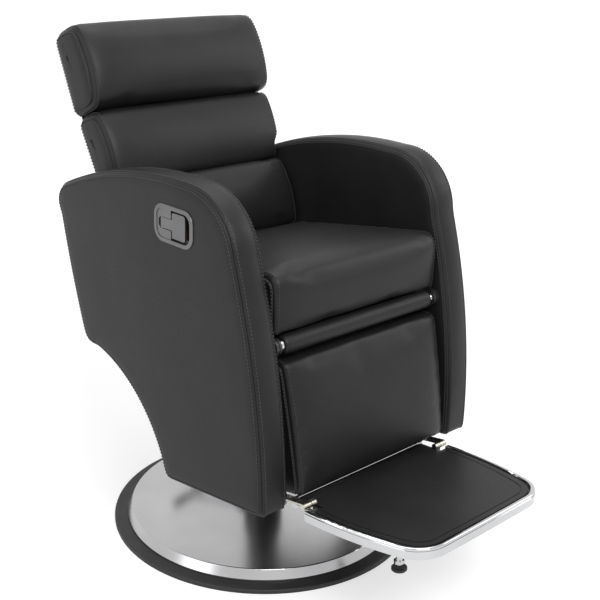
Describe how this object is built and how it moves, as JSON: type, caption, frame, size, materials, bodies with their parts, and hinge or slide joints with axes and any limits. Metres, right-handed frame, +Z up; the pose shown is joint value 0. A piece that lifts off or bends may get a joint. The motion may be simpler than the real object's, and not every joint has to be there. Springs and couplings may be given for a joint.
{
  "type": "reclining salon chair",
  "caption": "Black upholstered salon chair with a round base, foot pump, swivel, reclining back, linked legrest, folding footplate and a release handle in one arm.",
  "frame": {"origin": "on the floor, at the centre of the round base, on the axis of the pump column", "axes": "+Z up, the chair faces -Y, +X towards the sitter's left, which is the side without the release handle"},
  "size_m": [0.6499, 1.0162, 1.035],
  "materials": {
    "upholstery": "fine-grained satin leather over foam",
    "stainless": "satin with a polished bevel",
    "bright_steel": "polished",
    "black_steel": "satin black paint",
    "zinc_steel": "zinc plated",
    "bearing": "oiled bronze",
    "grey_metal": "satin grey",
    "rubber": "matt black",
    "plywood": "raw birch plywood"
  },
  "bodies": {
    "base": {"base_plate": "black_steel", "base_ring": "rubber", "base_cover": "stainless", "pump_housing": "black_steel", "pump_guide": "bright_steel", "pump_collar": "bright_steel", "base_bolts": "zinc_steel", "pedal_pin": "zinc_steel"},
    "ram": {"pump_ram": "bright_steel", "thrust_washer": "bearing"},
    "pedal": {"pedal_lever": "bright_steel", "pedal_sleeves": "rubber"},
    "seat": {"swivel_hub": "black_steel", "mounting_plate": "black_steel", "mount_bolts": "zinc_steel", "seat_side_plates": "black_steel", "seat_cross_tubes": "black_steel", "seat_rails": "black_steel", "seat_board": "plywood", "seat_apron": "plywood", "seat_cushion": "upholstery", "arm_pad_left": "upholstery", "arm_core_left": "plywood", "arm_pad_right": "upholstery", "arm_core_right": "plywood", "arm_bolts": "zinc_steel", "handle_bezel": "grey_metal", "handle_pin": "zinc_steel", "back_pins": "zinc_steel", "knee_tube": "zinc_steel", "knee_roll": "upholstery", "knee_caps": "bright_steel"},
    "handle": {"handle_paddle": "grey_metal"},
    "back": {"back_cranks": "black_steel", "back_tubes": "black_steel", "back_cross_tubes": "black_steel", "back_board": "plywood", "back_cushion_lower": "upholstery", "back_cushion_middle": "upholstery", "headrest_cushion": "upholstery", "back_panel": "upholstery", "link_pins_rear": "zinc_steel"},
    "link": {"link_bars": "black_steel"},
    "legrest": {"legrest_arms": "black_steel", "legrest_tubes": "black_steel", "legrest_spines": "black_steel", "legrest_feet": "zinc_steel", "legrest_board": "plywood", "legrest_pad": "upholstery", "link_pins_front": "zinc_steel", "hinge_bar": "bright_steel"},
    "footplate": {"foot_tray": "black_steel", "foot_rim": "bright_steel", "foot_lugs": "zinc_steel", "foot_mat": "rubber", "foot_stem": "bright_steel", "foot_glide": "rubber"}
  },
  "joints": [
    {"name": "lift", "type": "slide", "parent": "base", "child": "ram", "axis": [0, 0, 1], "range_m": [-0.034, 0.116]},
    {"name": "swivel", "type": "hinge", "parent": "ram", "child": "seat", "pos_m": [0, 0, 0.433], "axis": [0, 0, 1], "continuous": true},
    {"name": "pump_pedal", "type": "hinge", "parent": "base", "child": "pedal", "pos_m": [-0.0117, 0.05067, 0.072], "axis": [-0.9744, -0.225, 0], "range_deg": [0, 18], "stiffness_Nm_per_rad": 20, "springref_deg": -8.59},
    {"name": "recline", "type": "hinge", "parent": "seat", "child": "back", "pos_m": [0, 0.205, 0.55], "axis": [-1, 0, 0], "range_deg": [0, 60]},
    {"name": "link_turn", "type": "hinge", "parent": "back", "child": "link", "pos_m": [0, 0.25803, 0.49697], "axis": [-1, 0, 0], "range_deg": [-60.5, 0.5]},
    {"name": "legrest_swing", "type": "hinge", "parent": "seat", "child": "legrest", "pos_m": [0, -0.257, 0.525], "axis": [-1, 0, 0], "range_deg": [-0.5, 60.5]},
    {"name": "footplate_fold", "type": "hinge", "parent": "legrest", "child": "footplate", "pos_m": [0, -0.331, 0.227], "axis": [-1, 0, 0], "range_deg": [0, 80]},
    {"name": "handle_pull", "type": "hinge", "parent": "seat", "child": "handle", "pos_m": [-0.2878, -0.0295, 0.719], "axis": [0, 0, -1], "range_deg": [0, 30], "stiffness_Nm_per_rad": 0.8, "springref_deg": -11.46}
  ],
  "couplings": [
    {"joint": "link_turn", "follows": "recline", "ratio": -1},
    {"joint": "legrest_swing", "follows": "recline", "ratio": 1}
  ]
}
